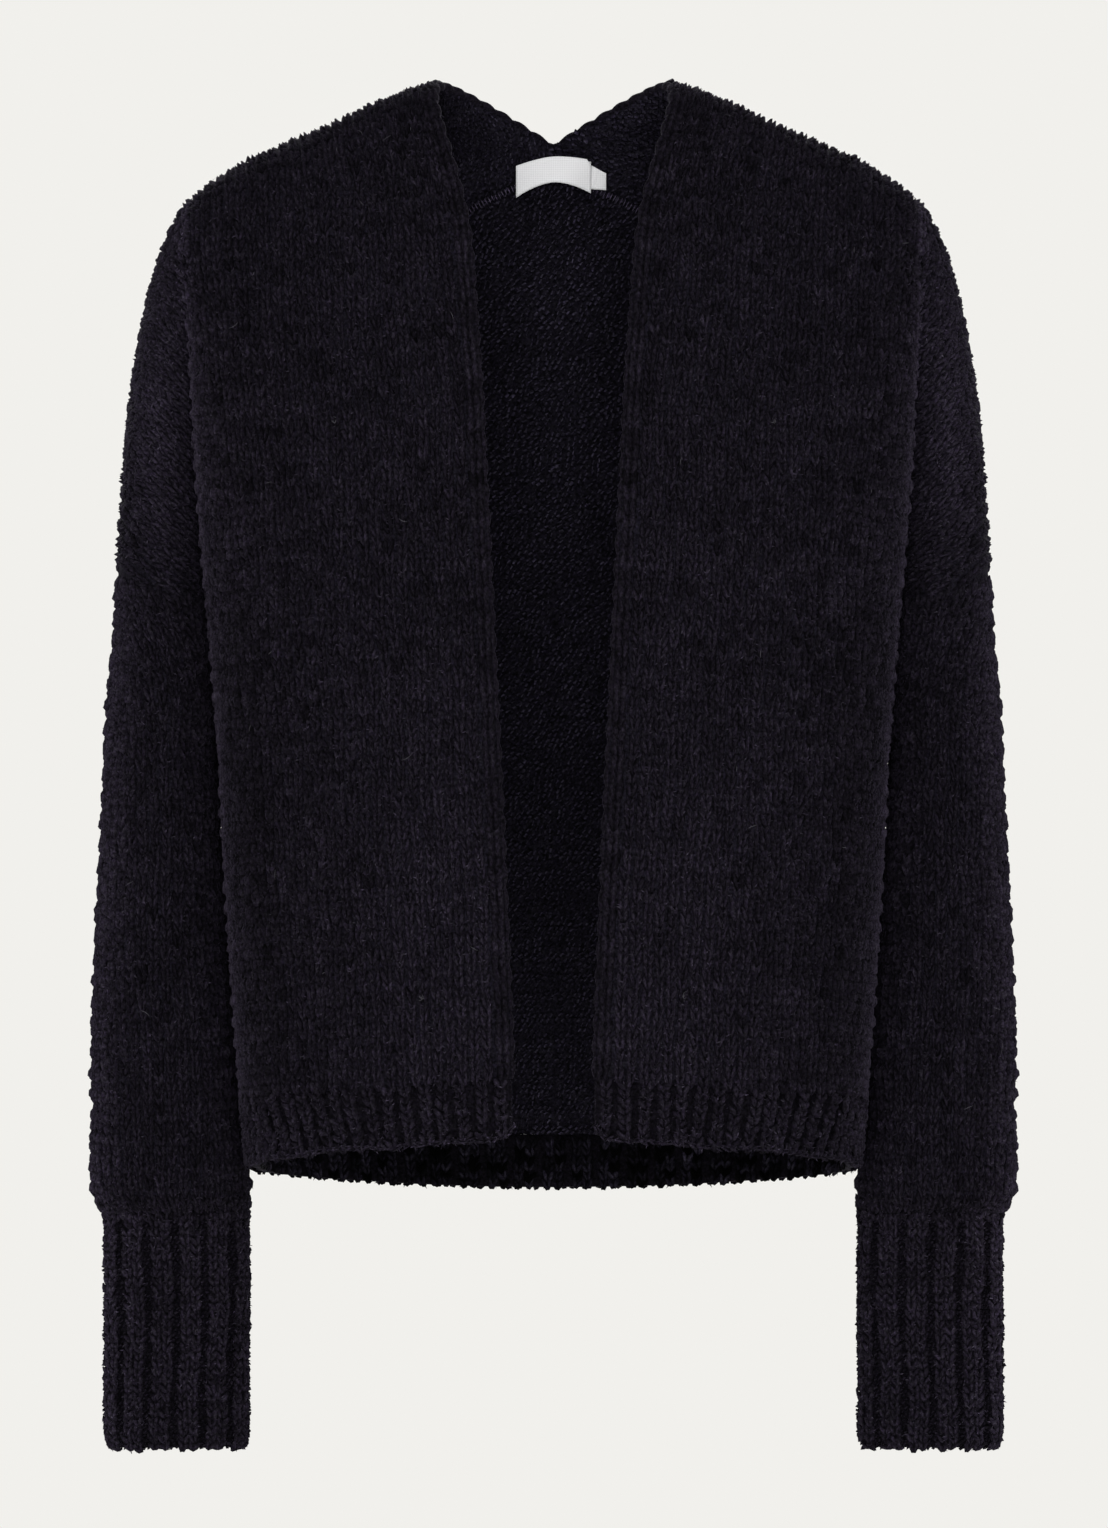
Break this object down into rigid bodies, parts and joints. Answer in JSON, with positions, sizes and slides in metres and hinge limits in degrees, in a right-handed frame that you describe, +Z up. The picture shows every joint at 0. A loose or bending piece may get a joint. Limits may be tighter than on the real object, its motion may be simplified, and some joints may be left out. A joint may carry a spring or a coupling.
{
  "type": "open-front chunky knit cardigan",
  "caption": "Hip-length open-front cardigan in chunky dark wool knit, with dropped shoulders, ribbed hem and long ribbed cuffs, hollow and filled out as when worn.",
  "frame": {"origin": "midway between the two points where the front edges cross the shoulder ridge, at the height of that ridge", "axes": "+X to the wearer's left, +Y towards the back, +Z up; the open front faces -Y"},
  "size_m": [0.5004, 0.2269, 0.7398],
  "materials": {
    "knit": "brushed wool, plain knit",
    "rib": "brushed wool, ribbed",
    "label": "woven satin"
  },
  "bodies": {
    "root": {"back": "knit", "front_left": "knit", "front_right": "knit", "sleeve_left": "knit", "sleeve_right": "knit", "cuff_left": "rib", "cuff_right": "rib", "hem_front_left": "rib", "hem_front_right": "rib", "hem_back": "rib", "neck_label": "label", "size_tab": "label"}
  },
  "joints": []
}
